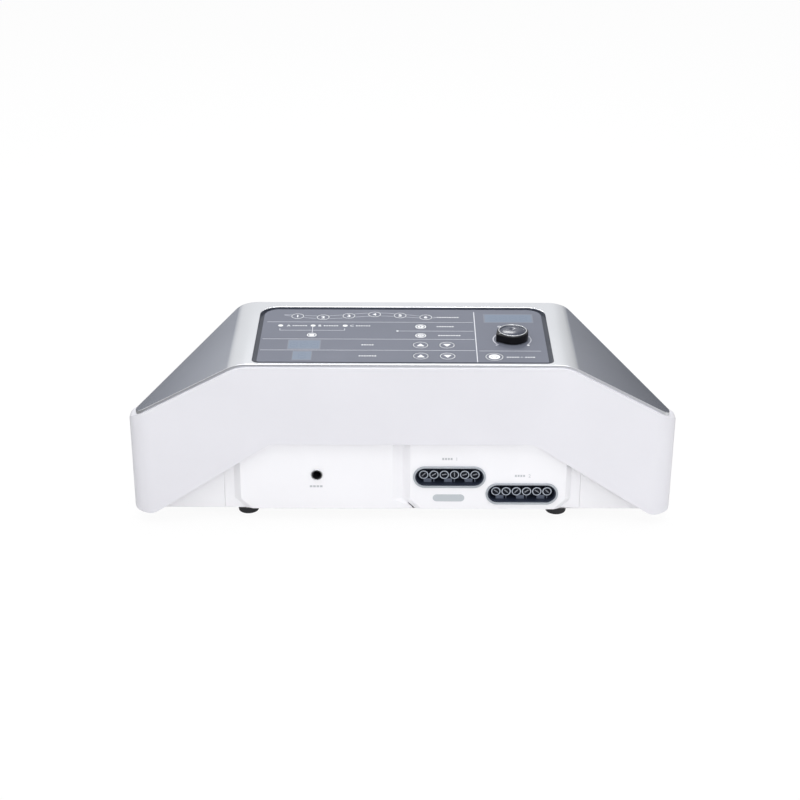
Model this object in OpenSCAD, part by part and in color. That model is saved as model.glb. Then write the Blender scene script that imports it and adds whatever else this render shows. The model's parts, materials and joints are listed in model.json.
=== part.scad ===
// Air compression therapy pump: an arched white housing with a wrapped silver top,
// a keypad and pressure knob on top, and two six-port hose sockets in front.
// Millimetres. Z is up from the table, X is to the right, and the front looks along -Y.

/* [Housing] */
// Width across the two legs of the front fascia
overall_w = 435; // [431:1:441]
// Depth from the fascia's face to the tip of the power rocker
overall_d = 129.2; // [128.2:0.1:130.2]
// Height of the top cover above the table
cover_top = 141; // [139:0.5:145]
// Thickness of the wrapped top cover
cover_t = 2.5; // [2.2:0.1:2.8]
// Slope of the top cover's two sides
slope_angle = 27.9; // [27:0.1:28.5]
// Distance from the middle to the fold between flat top and slope
bend_x = 130; // [128:1:132]
// Outer radius of that fold
bend_r = 34; // [30:1:40]
// Half width of the central housing, out to its seams
body_half = 143.5; // [142.5:0.5:144]
// Underside of the housing above the table, which is the height of the feet
floor_z = 9.6; // [9:0.1:10]
// Wall of the moulded covers
wall = 2.5; // [2.2:0.1:2.8]

/* [Fascia] */
// Depth of the fascia's legs
fascia_d = 20; // [18:1:22]
// Wall of the fascia's front
fascia_t = 3; // [2.6:0.1:3.2]
// Plan radius of the fascia's upright corners
fascia_corner_r = 18; // [16:1:20]
// Height of the fascia's straight lower edge
arch_z = 72; // [70:1:74]
// Half length of that straight edge
arch_half = 105; // [103:1:107]
// Slope of the edge from there down to each leg
arch_angle = 33.5; // [33:0.1:34]

/* [Keypad] */
// Half width of the keypad plate
overlay_half = 114.2; // [113.5:0.1:114.6]
// Depth of the keypad's surface below the top cover
overlay_sink = 0.8; // [0.6:0.1:1]
// Width of the dark groove round the keypad plate
groove_w = 3.6; // [3.2:0.1:3.8]
// Travel of a key
key_travel = 0.5; // [0.4:0.05:0.5]

/* [Knob] */
// Radius of the round grip
knob_r = 12.6; // [12:0.1:13.2]
// Distance from the knob's axis to the tip of its blunt pointer
knob_tip_r = 14.9; // [14:0.1:16]
// Height of the grip
knob_h = 6.2; // [5.8:0.1:7.5]

/* [Hose sockets] */
// Distance between neighbouring ports
port_pitch = 8.26; // [8.2:0.02:8.3]
// Outer radius of a port's spigot
port_r = 3.7; // [3.6:0.05:3.8]
// Outside length of a socket's bezel
socket_w = 58.4; // [58:0.2:59]
// Outside height of a socket's bezel
socket_h = 19.4; // [19.2:0.1:19.8]

/* [Hidden] */
$fn = 64;

// A small overlap that cuts need to pass right through
over = 1;

// Top cover: front edge, the point where its slanted rear edge starts and the one where it ends
cover_front = 2;
cover_rear = [137.8, overall_d - 2.2];
cover_end = [211, 12];
edge_dir = (cover_end - cover_rear) / norm(cover_end - cover_rear);
edge_out = [-edge_dir[1], edge_dir[0]];
cover_lap = 1.2;

// Levels of the keypad: its surface, the plate, the gasket and the ledge under it
overlay_top = cover_top - overlay_sink;
overlay_t = 2.5;
overlay_z = overlay_top - overlay_t;
gasket_t = 2.2;
ledge_z = overlay_z - gasket_t;
ledge_t = 1.6;
overlay_front = 8.6;
overlay_rear = 113;
overlay_corner_r = 12;
overlay_front_r = 2;
frame_half = overlay_half + groove_w + 2.2;
board_z = 128.4;
board_t = 1.6;

// Front face of the lower panel and of the two raised pads on it
panel_y = 9.5;
pad_y = 4.5;
housing_y = panel_y + wall;

// Pads: left end, right end, and how far the left and the right wall lean in
PADS = [[-136, 0.5, 6, 8.4], [1, 136, 5.3, 4.7]];
pad_top = 80;
pad_foot = 1.8;
pad_cut = 9.2;
rear_face = cover_rear[1] - cover_lap;

// Keys: middle and diameter, the six numbered ones along a gentle wave
number_key_y = [98.6, 96.5, 99.6, 102.8, 100.7, 97.1];
number_key_x0 = -86.8;
number_key_pitch = 21.14;
number_key_d = 9.9;
KEYS = concat(
    [for (i = [0:5]) [number_key_x0 + i * number_key_pitch, number_key_y[i], number_key_d]],
    [
        [-73.4, 60.4, 8],
        [14.6, 77.7, 8.8], [14.4, 59.8, 8.8],
        [14.1, 41.2, 12], [35.2, 41.2, 12],
        [14.1, 20.1, 12], [35.2, 20.1, 12],
        [71.9, 19.1, 14]
    ]
);
key_gap = 0.3;
key_flange = 1.2;
key_flange_t = 1;
stem_r = 2;
stem_h = 1.8;
switch_w = 6;
switch_h = 3.2;
plunger_r = 1.7;
plunger_top = overlay_z - key_gap - key_flange_t - stem_h - key_travel - 0.1;

// Windows over the digits: middle, width and depth
PRESSURE_WINDOW = [86.7, 95.2, 40.8, 18];
TIME_WINDOW = [-78.6, 41.6, 26.4, 18.6];
SPEED_WINDOW = [-79.3, 20.6, 15.4, 17.6];
LIGHTS = [[-99.6, 79.3], [-73.2, 79.3], [-47, 79.3]];
light_r = 2;

// Pressure knob
knob_at = [87.9, 53.9];
knob_gap = 0.6;
knob_tip_angle = 205;
knob_cap_r = 10.7;
knob_ring_r = 11.4;
knob_ring_h = 0.9;
knob_dome_h = 1.9;
shaft_r = 3;
shaft_fit = 0.05;
shaft_in_knob = 5;
bushing_r = 4.4;
pot_r = 8;
pot_z = board_z + board_t;

// Hose sockets: middle of each, and the angle of the slit in each port's valve
SOCKETS = [[37.8, 40.8], [96.3, 25.8]];
SLITS = [[45, 35, 10, 95, 20, 15], [-35, -40, 45, 35, -35, -45]];
port_y = 9;
port_drop = 0.4;
bezel_w = 1.7;
bezel_y = 3.5;
socket_floor_y = 15;
socket_back_y = 17.5;
nipple_r = 2.4;
nipple_y = 23;

jack_at = [-68.6, 42.8];
jack_r = 3.3;
jack_bush_r = 3.95;
jack_ring_r = 4.8;
jack_out = 1.2;
jack_end = 24;

// Power side at the rear
inlet_at = [-105, 38];
switch_at = [-72, 38];
fuse_at = [-45, 38];
rocker_tilt = 10;
rocker_r = 9.2;
rocker_half = 5.2;
rocker_pivot_y = overall_d - 5.64;
rocker_pin_r = 1.5;
switch_flange_y = rear_face + 1.5;
foot_x = 126;
foot_y = [24.2, 104];
foot_r = 9.4;

// ---- helpers ----

// Everything is drawn with the fascia's face at y = 0, then moved so that the middle is at y = 0
module placed() translate([0, -overall_d / 2, 0]) children();

// A shape drawn in X and Z, made solid from y0 to y1
module front_extrude(y0, y1) translate([0, y1, 0]) rotate([90, 0, 0]) linear_extrude(y1 - y0) children();

// A shape drawn in Y and Z, made solid across X
module side_extrude(x0, x1)
    translate([x0, 0, 0]) rotate([90, 0, 90]) linear_extrude(x1 - x0) children();

module level(z0, z1) translate([0, 0, z0]) linear_extrude(z1 - z0) children();

function unit(v) = v / norm(v);
function xy(p) = [p[0], p[1]];
function cross2(a, b) = a[0] * b[1] - a[1] * b[0];

// Arc of a rounded corner: [middle, first tangent point, second tangent point]
function corner(points, i) =
    let (
        n = len(points), b = xy(points[i]), r = points[i][2],
        u = unit(xy(points[(i + n - 1) % n]) - b), v = unit(xy(points[(i + 1) % n]) - b),
        half = acos(u * v) / 2, reach = r / tan(half)
    ) [b + unit(u + v) * r / sin(half), b + u * reach, b + v * reach];
function turn(points, i) =
    let (n = len(points), b = xy(points[i]))
    cross2(b - xy(points[(i + n - 1) % n]), xy(points[(i + 1) % n]) - b);

// Wedge from a corner's arc middle out past the corner
module corner_wedge(points, i, grow = 0.3) {
    c = corner(points, i);
    b = xy(points[i]);
    polygon([c[0], c[1] + (c[1] - c[0]) * grow, b + (b - c[0]) * grow, c[2] + (c[2] - c[0]) * grow]);
}

// Outline of [x, y, radius] corners, anticlockwise, each corner a true arc
module rounded_outline(points) {
    outer = [for (i = [0:len(points) - 1]) if (points[i][2] > 0 && turn(points, i) > 0) i];
    inner = [for (i = [0:len(points) - 1]) if (points[i][2] > 0 && turn(points, i) < 0) i];
    difference() {
        polygon([for (p = points) xy(p)]);
        for (i = outer) corner_wedge(points, i);
    }
    for (i = outer) intersection() {
        corner_wedge(points, i);
        translate(corner(points, i)[0]) circle(r = points[i][2], $fn = 96);
    }
    for (i = inner) difference() {
        corner_wedge(points, i, 0);
        translate(corner(points, i)[0]) circle(r = points[i][2], $fn = 96);
    }
}

module stadium(w, h) {
    square([w - h, h], center = true);
    for (s = [-1, 1]) translate([s * (w - h) / 2, 0]) circle(d = h);
}

// Rectangle by its middle and size
module plate_2d(w) translate([w[0], w[1]]) square([w[2], w[3]], center = true);

// ---- outlines shared by several covers ----

// Height of the cover's slope at x, at a depth d under its surface
function slope_z(x, d) = cover_top - d / cos(slope_angle) - (x - bend_x) * tan(slope_angle);
function fold_x(d) = bend_x - d * tan(slope_angle / 2);

// Slanted rear edge of the top cover, moved in by an inset
function edge_x(y, inset) = (edge_out * cover_rear - inset - edge_out[1] * y) / edge_out[0];
function edge_y(x, inset) = (edge_out * cover_rear - inset - edge_out[0] * x) / edge_out[1];

// Everything lower than the depth d under the top cover's surface, seen from the front
module under_cover(d) {
    x = overall_w / 2 + over;
    rounded_outline([
        [-x, 0, 0], [x, 0, 0], [x, slope_z(x, d), 0], [fold_x(d), cover_top - d, bend_r - d],
        [-fold_x(d), cover_top - d, bend_r - d], [-x, slope_z(x, d), 0]
    ]);
}

module cover_plan() rounded_outline([
    [cover_end[0], cover_front, 8], [cover_end[0], cover_end[1], 0], [cover_rear[0], cover_rear[1], 8],
    [-cover_rear[0], cover_rear[1], 8], [-cover_end[0], cover_end[1], 0], [-cover_end[0], cover_front, 8]
]);

module overlay_plan(grow) rounded_outline([
    [overlay_half + grow, overlay_front - grow, overlay_front_r + max(grow, 0)],
    [overlay_half + grow, overlay_rear + grow, overlay_corner_r + grow],
    [-overlay_half - grow, overlay_rear + grow, overlay_corner_r + grow],
    [-overlay_half - grow, overlay_front - grow, overlay_front_r + max(grow, 0)]
]);

// ---- housing ----

module base_housing() color("gainsboro") placed() {
    back = rear_face - wall;
    inset = cover_lap + wall;
    difference() {
        intersection() {
            level(floor_z, cover_top) polygon([
                [-body_half, housing_y], [body_half, housing_y],
                [body_half, edge_y(body_half, cover_lap)], [edge_x(back, cover_lap), back],
                [-edge_x(back, cover_lap), back], [-body_half, edge_y(body_half, cover_lap)]
            ]);
            front_extrude(0, overall_d) under_cover(cover_t);
        }
        level(floor_z + wall, cover_top + over) polygon([
            [wall - body_half, housing_y + wall], [body_half - wall, housing_y + wall],
            [body_half - wall, edge_y(body_half - wall, inset)], [edge_x(back + over, inset), back + over],
            [-edge_x(back + over, inset), back + over], [wall - body_half, edge_y(body_half - wall, inset)]
        ]);
        // clearance for the keypad's ledge and board
        level(board_z - 3, cover_top + over) translate([-frame_half, 0]) square([2 * frame_half, 40]);
        for (s = SOCKETS) front_extrude(housing_y - over, housing_y + wall + over)
            translate(s) stadium(socket_w - 1, socket_h - 1);
        front_extrude(housing_y - over, housing_y + wall + over) translate(jack_at) circle(r = 8);
        for (x = [-foot_x, foot_x], y = foot_y) translate([x, y, 0]) cylinder(r = 2.2, h = 20);
    }
    for (y = [35, 105], z = [45, 105]) translate([body_half - wall, y, z])
        rotate([0, -90, 0]) cylinder(r = 3, h = 5.3);
}

// Triangular cover that fills the space between the central housing and a leg
module wing_cover(side) color("white") placed() mirror([side < 0 ? 1 : 0, 0, 0]) {
    x0 = body_half + 0.1;
    inset = cover_lap + wall;
    tip = 203;
    shoulder = 13.8;
    difference() {
        intersection() {
            level(floor_z, cover_top) polygon([
                [x0, panel_y], [tip, panel_y],
                [edge_x(shoulder, cover_lap), shoulder], [x0, edge_y(x0, cover_lap)]
            ]);
            front_extrude(0, overall_d) under_cover(cover_t);
        }
        level(floor_z + wall, cover_top) polygon([
            [x0 + wall, panel_y + wall], [tip - over, panel_y + wall],
            [edge_x(shoulder + over, inset), shoulder + over], [x0 + wall, edge_y(x0 + wall, inset)]
        ]);
    }
}
module left_wing_cover() wing_cover(-1);
module right_wing_cover() wing_cover(1);

module front_fascia() color("white") placed() {
    half = overall_w / 2;
    flange_d = panel_y - 0.2;
    shoulder_r = 9;
    foot_z = 8.8;
    foot_r = 16;
    leg_x = arch_half + (arch_z - foot_z) / tan(arch_angle);
    difference() {
        intersection() {
            front_extrude(0, fascia_d) rounded_outline([
                [arch_half, arch_z, 14], [leg_x, foot_z, foot_r], [half, foot_z, 2.5],
                [half, slope_z(half, cover_t), shoulder_r],
                [fold_x(cover_t), cover_top - cover_t, bend_r - cover_t],
                [-fold_x(cover_t), cover_top - cover_t, bend_r - cover_t],
                [-half, slope_z(half, cover_t), shoulder_r],
                [-half, foot_z, 2.5], [-leg_x, foot_z, foot_r], [-arch_half, arch_z, 14]
            ]);
            level(0, cover_top) rounded_outline([
                [-half, 0, fascia_corner_r], [half, 0, fascia_corner_r],
                [half, overall_d, 0], [-half, overall_d, 0]
            ]);
        }
        // hollow behind the face, under the top flange
        intersection() {
            front_extrude(fascia_t, overall_d) under_cover(cover_t + fascia_t);
            level(-over, cover_top + over) fascia_inside();
        }
        intersection() {
            front_extrude(flange_d, overall_d) square([2 * half, 2 * cover_top], center = true);
            level(-over, cover_top + over) fascia_inside();
        }
        // room for the keypad's sunk frame
        front_extrude(fascia_t, fascia_d) translate([-frame_half, ledge_z - ledge_t - over])
            square([2 * frame_half, 2 * wall + over]);
    }
    for (x = [-100, -40, 40, 100]) translate([x, fascia_t - 0.5, 108])
        rotate([-90, 0, 0]) cylinder(r = 4, h = housing_y - fascia_t + 0.5);
}

// Plan of the hollow in the fascia, clear of the wing covers
module fascia_inside() {
    clear = cover_lap - 0.3;
    tip = 204;
    edge_from = 11;
    polygon([
        [-tip, fascia_t], [tip, fascia_t], [edge_x(edge_from, clear), edge_from],
        [edge_x(fascia_d + over, clear), fascia_d + over],
        [-edge_x(fascia_d + over, clear), fascia_d + over], [-edge_x(edge_from, clear), edge_from]
    ]);
}

// Outline whose two lower corners are cut off
module cut_plate(x0, x1, z0, z1) polygon([
    [x0, z0 + pad_cut], [x0 + pad_cut, z0], [x1 - pad_cut, z0], [x1, z0 + pad_cut], [x1, z1], [x0, z1]
]);

// Raised pad with leaning walls, from its face to the depth of its foot
module pad(p, foot_y) hull() {
    front_extrude(foot_y - 0.1, foot_y) cut_plate(p[0], p[1], floor_z, pad_top);
    front_extrude(pad_y, pad_y + 0.1) cut_plate(p[0] + p[2], p[1] - p[3], floor_z + pad_foot, pad_top);
}

// Lower right corner of the left pad, whose wall fans out to the cut corner of the right pad
module corner_fan(p, foot_y) hull() {
    front_extrude(foot_y - 0.1, foot_y) polygon([
        [p[1] - 2 * pad_cut, floor_z], [p[1] + pad_cut, floor_z],
        [p[1], floor_z + pad_cut], [p[1] - 2 * pad_cut, floor_z + pad_cut]
    ]);
    front_extrude(pad_y, pad_y + 0.1) translate([p[1] - p[3] - 2 * pad_cut, floor_z + pad_foot])
        square([2 * pad_cut, pad_cut]);
}

// Hollow behind a pad, right through the panel
module pad_hollow(p) front_extrude(pad_y + wall, 2 * housing_y)
    cut_plate(p[0] + p[2] + wall, p[1] - p[3] - wall, floor_z + pad_foot + wall, pad_top - wall);

module front_panel() color("white") placed() difference() {
    union() {
        front_extrude(panel_y, housing_y) translate([-body_half, floor_z]) square([2 * body_half, 74]);
        pad(PADS[0], panel_y + 0.5);
        corner_fan(PADS[0], panel_y + 0.5);
    }
    for (p = PADS) pad_hollow(p);
    front_extrude(0, 2 * housing_y) translate(jack_at) circle(r = jack_bush_r + 0.05);
}

// The right pad, a tray of its own on the panel, with the mouths of the two hose sockets
module socket_plate() color("white") placed() difference() {
    pad(PADS[1], panel_y);
    pad_hollow(PADS[1]);
    for (s = SOCKETS) front_extrude(0, 2 * housing_y) translate(s) stadium(socket_w - 2, socket_h - 2);
}

module rear_cover() color("white") placed() {
    y0 = rear_face - wall;
    difference() {
        intersection() {
            level(floor_z, cover_top) polygon([
                [-edge_x(y0, cover_lap), y0], [edge_x(y0, cover_lap), y0],
                [edge_x(rear_face, cover_lap), rear_face], [-edge_x(rear_face, cover_lap), rear_face]
            ]);
            front_extrude(0, overall_d) under_cover(cover_t);
        }
        for (i = [0:13], z = [62, 100]) front_extrude(y0 - over, rear_face + over)
            translate([20 + i * 7, z]) rotate(90) stadium(30, 3);
        front_extrude(y0 - over, rear_face + over) {
            translate(inlet_at) square([27.6, 20.4], center = true);
            translate(switch_at) square([14.1, 21.6], center = true);
            translate(fuse_at) circle(r = 6.4);
        }
    }
}

// ---- top ----

module top_cover() color("silver") placed() {
    difference() {
        intersection() {
            difference() {
                front_extrude(0, overall_d) under_cover(0);
                front_extrude(-over, overall_d + over) under_cover(cover_t);
            }
            level(0, cover_top + over) cover_plan();
        }
        level(ledge_z, cover_top + over) overlay_plan(groove_w);
    }
    // sunk frame that carries the keypad
    difference() {
        level(ledge_z - ledge_t, cover_top - cover_t) overlay_plan(groove_w + 1.6);
        level(ledge_z, cover_top + over) overlay_plan(groove_w);
        level(ledge_z - ledge_t - over, ledge_z + over) overlay_plan(-5);
    }
    for (x = [-113.5, 113.5], y = [22, 98]) translate([x, y, board_z + board_t])
        cylinder(r = 2.5, h = ledge_z - ledge_t - board_z - board_t);
}

module panel_gasket() color("dimgray") placed() difference() {
    level(ledge_z, overlay_z) overlay_plan(groove_w);
    level(ledge_z - over, overlay_z + over) overlay_plan(-2);
}

module control_overlay() color("slategray") placed() difference() {
    level(overlay_z, overlay_top) overlay_plan(0);
    level(overlay_z - over, overlay_top + over) {
        for (k = KEYS) translate([k[0], k[1]]) circle(d = k[2] + 2 * key_gap);
        for (w = [PRESSURE_WINDOW, TIME_WINDOW, SPEED_WINDOW]) plate_2d(w);
        for (p = LIGHTS) translate(p) circle(r = light_r);
        translate(knob_at) circle(r = bushing_r + 0.1);
    }
}

module window(w) color("lightsteelblue") placed() level(overlay_z, overlay_top) plate_2d(w);
module pressure_window() window(PRESSURE_WINDOW);
module time_window() window(TIME_WINDOW);
module speed_window() window(SPEED_WINDOW);

module mode_lights() color("white") placed()
    for (p = LIGHTS) translate([p[0], p[1], board_z + board_t])
        cylinder(r = light_r, h = overlay_top - board_z - board_t);

module display_board() color("darkgreen") placed() difference() {
    level(board_z, board_z + board_t) translate([-118, 17]) square([236, 92]);
    for (x = [-100, 100], y = [30, 90]) translate([x, y, board_z - over]) cylinder(r = 1.6, h = 5);
}

module digit_displays() color("darkred") placed()
    for (w = [PRESSURE_WINDOW, TIME_WINDOW, SPEED_WINDOW])
        level(board_z + board_t, overlay_z - 0.2) plate_2d([w[0], w[1], w[2] - 2, w[3] - 4]);

module tact_switches() color("black") placed()
    for (k = KEYS) translate([k[0], k[1], board_z + board_t]) {
        translate([-switch_w / 2, -switch_w / 2, 0]) cube([switch_w, switch_w, switch_h]);
        cylinder(r = plunger_r, h = plunger_top - board_z - board_t);
    }

module key(i) color("slategray") placed() translate([KEYS[i][0], KEYS[i][1], 0]) {
    r = KEYS[i][2] / 2;
    flange_z = overlay_z - key_gap - key_flange_t;
    translate([0, 0, flange_z]) cylinder(r = r + key_flange, h = key_flange_t);
    translate([0, 0, flange_z]) cylinder(r = r, h = overlay_top - flange_z);
    translate([0, 0, flange_z - stem_h]) cylinder(r = stem_r, h = stem_h + 0.5);
}

module potentiometer() color("gray") placed() translate(knob_at) difference() {
    union() {
        translate([0, 0, pot_z]) cylinder(r = pot_r, h = 6.5);
        translate([0, 0, pot_z]) cylinder(r = bushing_r, h = overlay_top - pot_z - 0.3);
    }
    translate([0, 0, pot_z + 2.5]) cylinder(r = shaft_r + shaft_fit, h = 20);
}

module knob_shaft() color("silver") placed() translate([knob_at[0], knob_at[1], pot_z + 2.6])
    cylinder(r = shaft_r, h = overlay_top + knob_gap + shaft_in_knob - pot_z - 2.6);

// Round grip with a blunt pointer whose sides touch the circle
module knob_body() color("black") placed() translate([knob_at[0], knob_at[1], overlay_top + knob_gap])
    difference() {
        union() {
            cylinder(r = knob_r, h = knob_h, $fn = 96);
            reach = acos(knob_r / knob_tip_r);
            rotate(knob_tip_angle) linear_extrude(knob_h) polygon([
                [0, 0], knob_r * [cos(reach), -sin(reach)], [knob_tip_r, 0], knob_r * [cos(reach), sin(reach)]
            ]);
        }
        translate([0, 0, -over]) cylinder(r = bushing_r + 1, h = over + 1.5);
        translate([0, 0, -over]) cylinder(r = shaft_r, h = over + shaft_in_knob);
    }

module knob_ring() color("gainsboro") placed()
    translate([knob_at[0], knob_at[1], overlay_top + knob_gap + knob_h]) difference() {
        cylinder(r = knob_ring_r, h = knob_ring_h);
        translate([0, 0, -over]) cylinder(r = knob_cap_r, h = 3);
    }

// Domed cap: a slice of a ball whose rim has the cap's radius
module knob_cap() color("black") placed()
    translate([knob_at[0], knob_at[1], overlay_top + knob_gap + knob_h]) {
        ball_r = (pow(knob_cap_r, 2) + pow(knob_dome_h, 2)) / (2 * knob_dome_h);
        intersection() {
            translate([0, 0, knob_dome_h - ball_r]) sphere(r = ball_r, $fn = 240);
            cylinder(r = knob_cap_r, h = 2 * knob_dome_h, $fn = 120);
        }
    }

// ---- front connections ----

module jack_body() color("black") placed() difference() {
    union() {
        front_extrude(pad_y - jack_out, jack_end) translate(jack_at) circle(r = jack_bush_r);
        front_extrude(pad_y + wall, jack_end) translate(jack_at) circle(r = 7.5);
    }
    front_extrude(0, jack_end - 2) translate(jack_at) circle(r = jack_r);
}

module jack_nut() color("gainsboro") placed()
    front_extrude(pad_y - jack_out, pad_y) translate(jack_at) difference() {
        circle(r = jack_ring_r);
        circle(r = jack_bush_r);
    }

module socket_bezel(i) color("lightslategray") placed() difference() {
    union() {
        front_extrude(bezel_y, pad_y) translate(SOCKETS[i]) stadium(socket_w, socket_h);
        front_extrude(bezel_y, housing_y) translate(SOCKETS[i]) stadium(socket_w - 2.1, socket_h - 2.1);
    }
    front_extrude(0, 2 * housing_y) translate(SOCKETS[i])
        stadium(socket_w - 2 * bezel_w, socket_h - 2 * bezel_w);
}
module socket_bezel_1() socket_bezel(0);
module socket_bezel_2() socket_bezel(1);

function port_x(k) = (k - 2.5) * port_pitch;

// Cup with six spigots, three keying blocks between them and a rib under every second one
module hose_socket(i) {
    cup_w = socket_w - 2 * bezel_w;
    cup_h = socket_h - 2 * bezel_w;
    cup_wall = 0.9;
    low = -cup_h / 2 + cup_wall / 2;
    block_w = 6.3;
    block_h = 3.8;
    rib_w = 0.9;
    color("midnightblue") placed() translate([SOCKETS[i][0], 0, SOCKETS[i][1]]) difference() {
        union() {
            difference() {
                front_extrude(bezel_y + 1, socket_back_y) stadium(cup_w, cup_h);
                front_extrude(0, socket_floor_y) stadium(cup_w - 2 * cup_wall, cup_h - 2 * cup_wall);
            }
            for (k = [0:5]) front_extrude(port_y, socket_back_y)
                translate([port_x(k), -port_drop]) circle(r = port_r);
            for (k = [0:5]) front_extrude(socket_back_y - over, nipple_y)
                translate([port_x(k), -port_drop]) circle(r = nipple_r);
            for (k = [0:2]) front_extrude(port_y, socket_floor_y + over)
                translate([port_x(2 * k), low]) square([block_w, block_h]);
            for (k = [0:2]) front_extrude(port_y + 0.5, socket_floor_y + over)
                translate([port_x(2 * k + 1) - rib_w / 2, low]) square([rib_w, block_h]);
        }
        for (k = [0:5]) translate([port_x(k), 0, -port_drop]) {
            front_extrude(port_y - over, socket_floor_y) circle(r = port_r - 0.7);
            front_extrude(port_y, nipple_y + over) circle(r = nipple_r - 0.9);
        }
    }
}
module hose_socket_1() hose_socket(0);
module hose_socket_2() hose_socket(1);

// Rubber valve in each spigot, with the lip of its slit
module socket_valves(i) color("black") placed() translate([SOCKETS[i][0], 0, SOCKETS[i][1]])
    for (k = [0:5]) translate([port_x(k), 0, -port_drop]) {
        front_extrude(port_y + 0.8, port_y + 3) circle(r = port_r - 0.7);
        front_extrude(port_y + 0.2, port_y + 1.5) rotate(SLITS[i][k]) square([3.8, 0.7], center = true);
    }
module socket_valves_1() socket_valves(0);
module socket_valves_2() socket_valves(1);

module label_plate() color("silver") placed()
    front_extrude(pad_y - 0.3, pad_y) translate([37.3, 21.7]) stadium(25.5, 6.4);

// ---- feet and screws ----

module rubber_feet() color("black") placed() for (x = [-foot_x, foot_x], y = foot_y)
    translate([x, y, 0]) difference() {
        cylinder(r1 = foot_r - 1.2, r2 = foot_r, h = floor_z);
        translate([0, 0, -over]) cylinder(r = 4, h = over + 5);
        cylinder(r = 2.2, h = floor_z + over);
    }

module foot_screws() color("silver") placed() for (x = [-foot_x, foot_x], y = foot_y)
    translate([x, y, 0]) {
        translate([0, 0, 5]) rotate([180, 0, 0]) cylinder(r = 3.4, h = 2);
        translate([0, 0, 4]) cylinder(r = 2, h = 12);
    }

module rear_screws() color("silver") placed()
    for (p = [[-128, 22], [128, 22], [-112, 130], [112, 130], [0, 22], [0, 130]])
        translate([p[0], rear_face, p[1]]) rotate([-90, 0, 0]) difference() {
            cylinder(r1 = 3, r2 = 2.4, h = 1.4);
            for (a = [0, 90]) rotate(a) translate([-1.8, -0.35, 0.7]) cube([3.6, 0.7, 2]);
        }

// ---- inside ----

module compressor() color("lightgray") placed() translate([-55, 78, 0]) {
    z0 = floor_z + wall + 10;
    translate([-35, -22, z0]) cube([70, 44, 8]);
    translate([-38, 0, z0 + 34]) rotate([0, 90, 0]) cylinder(r = 27, h = 76);
    for (x = [-50, 38]) translate([x, -24, z0 + 10]) cube([12, 48, 48]);
    for (x = [-25, 0, 25]) translate([x - 2, 0, z0 + 34]) rotate([0, 90, 0]) cylinder(r = 29, h = 4);
    translate([44, 0, z0 + 57]) cylinder(r = 3.5, h = 12);
}

module compressor_mounts() color("black") placed()
    for (x = [-85, -25], y = [62, 94]) translate([x, y, floor_z + wall]) {
        cylinder(r = 6, h = 3);
        cylinder(r = 4, h = 10);
        translate([0, 0, 7]) cylinder(r = 6, h = 3);
    }

manifold_z = 70;
hose_y = [34, 46];
outlet_top = 91.1;
line_z = 97;

module valve_manifold() color("lightgray") placed() {
    translate([8, 30, manifold_z]) cube([120, 22, 14]);
    translate([2, 41, manifold_z + 7]) rotate([0, 90, 0]) cylinder(r = 3.5, h = 7);
    for (x = [8, 122]) translate([x, 38, floor_z + wall]) cube([5, 6, manifold_z - floor_z - wall + 1]);
}

module solenoid_valves() color("dimgray") placed()
    for (k = [0:5]) translate([12 + k * 19, 31, manifold_z + 14]) {
        cube([16, 20, 22]);
        translate([8, 10, 21]) cylinder(r = 4, h = 4);
    }

module air_hoses() color("ghostwhite") placed() {
    hose_r = 2.9;
    bore = nipple_r;
    for (i = [0, 1], k = [0:5]) translate([SOCKETS[i][0] + port_x(k), 0, SOCKETS[i][1] - port_drop]) {
        front_extrude(nipple_y - 4, hose_y[i]) difference() {
            circle(r = hose_r);
            circle(r = bore);
        }
        translate([-3.2, hose_y[i], -3.2]) cube([6.4, 6.4, 6.4]);
    }
    for (k = [0:5]) translate([SOCKETS[0][0] + port_x(k), hose_y[0] + 3.2, SOCKETS[0][1] - port_drop + 3.2])
        cylinder(r = hose_r, h = manifold_z - SOCKETS[0][1] + port_drop - 3.2);
    for (k = [0:5]) translate([SOCKETS[1][0] + port_x(k), hose_y[1] + 3.2, SOCKETS[1][1] - port_drop + 3.2])
        cylinder(r = hose_r, h = manifold_z - SOCKETS[1][1] + port_drop - 3.2);
    // main line from the compressor's outlet over to the manifold
    for (y = [78, 41]) translate([-16, y - 5, line_z]) cube(10);
    front_extrude(46, 73) translate([-11, line_z + 5]) circle(r = 4.5);
    translate([-11, 78, outlet_top]) cylinder(r = 4.5, h = line_z - outlet_top);
    translate([-11, 41, manifold_z + 12]) cylinder(r = 4.5, h = line_z - manifold_z - 12);
    translate([-16, 36, manifold_z + 2]) cube(10);
    translate([-6, 41, manifold_z + 7]) rotate([0, 90, 0]) cylinder(r = 4.5, h = 8);
}

module main_board() color("darkgreen") placed() {
    x = body_half - wall - 5.3 - 1.6;
    translate([x, 28, 38]) cube([1.6, 84, 74]);
    translate([x - 14, 60, 60]) cube([14, 30, 24]);
    for (z = [48, 58, 94, 104]) translate([x - 9, 104, z]) rotate([0, 90, 0]) cylinder(r = 4, h = 9);
}

module transformer() color("dimgray") placed() translate([70, 88, floor_z + wall]) {
    translate([-30, -22, 0]) cube([60, 44, 50]);
    translate([-18, -30, 8]) cube([36, 60, 34]);
}

// ---- power side at the rear ----

module mains_inlet() color("black") placed() translate([inlet_at[0], 0, inlet_at[1]]) {
    difference() {
        union() {
            front_extrude(rear_face, switch_flange_y) square([31, 24], center = true);
            front_extrude(rear_face - 20, switch_flange_y) square([27.5, 20.3], center = true);
        }
        front_extrude(rear_face - 16, overall_d) polygon([
            [-12.2, -8.4], [12.2, -8.4], [12.2, 4], [8, 8.2], [-8, 8.2], [-12.2, 4]
        ]);
    }
    for (p = [[-7, -1.5], [7, -1.5], [0, 2.5]])
        translate([p[0] - 1, rear_face - 17, p[1] - 2]) cube([2, 14, 4]);
}

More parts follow.
